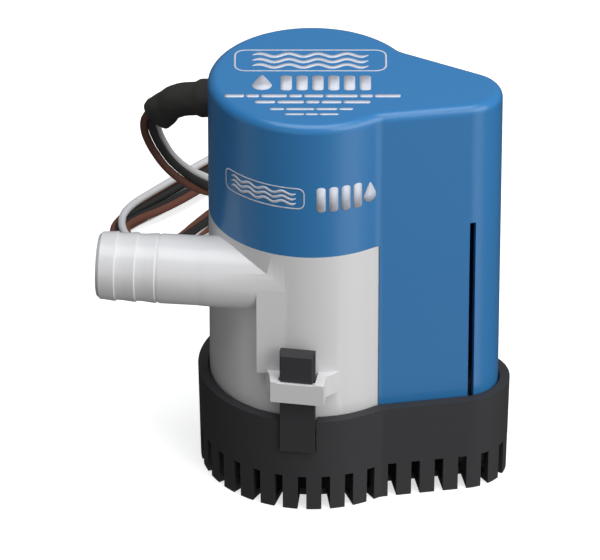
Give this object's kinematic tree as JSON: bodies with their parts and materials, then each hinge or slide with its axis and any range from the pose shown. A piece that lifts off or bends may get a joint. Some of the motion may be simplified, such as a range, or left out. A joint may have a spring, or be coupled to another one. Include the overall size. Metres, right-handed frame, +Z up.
{
  "type": "bilge pump",
  "caption": "Automatic submersible bilge pump: pear-shaped motor cap with float-chamber lobe, barbed side outlet, slotted strainer base on snap latches, loose leads.",
  "frame": {"origin": "on the impeller axis at the underside of the strainer base, where the pump stands", "axes": "+Z up along the impeller axis, +X towards the float-chamber lobe, -X towards the outlet, -Y towards the front latch"},
  "size_m": [0.1447, 0.2285, 0.1292],
  "materials": {
    "black_plastic": "satin moulded",
    "white_plastic": "semi-gloss moulded",
    "blue_plastic": "gloss moulded",
    "seal_rubber": "matt",
    "inner_plastic": "matt",
    "steel": "plated",
    "ferrite": "sintered",
    "bronze": "sintered",
    "carbon": "sintered carbon",
    "copper": "bare copper",
    "lamination": "stacked sheet",
    "component_orange": "dipped",
    "impeller_plastic": "moulded",
    "float_foam": "closed cell",
    "reed_glass": "clear",
    "board_green": "solder mask",
    "sleeve_black": "heat-shrunk",
    "lead_brown": "satin insulation",
    "lead_black": "satin insulation",
    "lead_white": "satin insulation"
  },
  "bodies": {
    "housing": {"strainer_base": "black_plastic", "pump_body": "white_plastic", "suction_plate": "white_plastic", "motor_cap": "blue_plastic", "cap_o_ring": "seal_rubber", "seal_plate": "inner_plastic", "seal_plate_screws": "steel", "shaft_seal": "seal_rubber", "motor_can": "steel", "field_magnets": "ferrite", "motor_end_bell": "inner_plastic", "lower_bush": "bronze", "upper_bush": "bronze", "carbon_brushes": "carbon", "brush_arms": "copper", "motor_terminals": "bronze", "noise_capacitor": "component_orange", "float_stem": "inner_plastic", "float_clip": "steel", "reed_switch": "reed_glass", "switch_board": "board_green", "power_transistor": "inner_plastic", "motor_leads": "lead_brown", "inner_leads": "lead_black", "cable_potting": "inner_plastic", "cable_grommet": "seal_rubber", "cable_sleeve": "sleeve_black", "brown_lead": "lead_brown", "black_lead": "lead_black", "white_lead": "lead_white", "lead_hank": "lead_black"},
    "rotor": {"motor_shaft": "steel", "armature_core": "lamination", "armature_windings": "copper", "commutator": "copper", "thrust_washers": "inner_plastic", "impeller": "impeller_plastic"},
    "float_body": {"float": "float_foam", "float_magnet": "ferrite"},
    "front_latch_body": {"front_latch": "black_plastic"},
    "rear_latch_body": {"rear_latch": "black_plastic"}
  },
  "joints": [
    {"name": "impeller_spin", "type": "hinge", "parent": "housing", "child": "rotor", "pos_m": [0, 0, 0.05], "axis": [0, 0, 1], "continuous": true},
    {"name": "float_rise", "type": "slide", "parent": "housing", "child": "float_body", "axis": [0, 0, 1], "range_m": [0, 0.022]},
    {"name": "front_latch_squeeze", "type": "hinge", "parent": "housing", "child": "front_latch_body", "pos_m": [0.0015, -0.0336, 0.0208], "axis": [1, 0, 0], "range_deg": [-3, 0], "stiffness_Nm_per_rad": 8},
    {"name": "rear_latch_squeeze", "type": "hinge", "parent": "housing", "child": "rear_latch_body", "pos_m": [0.0015, 0.0336, 0.0208], "axis": [1, 0, 0], "range_deg": [0, 3], "stiffness_Nm_per_rad": 8}
  ]
}
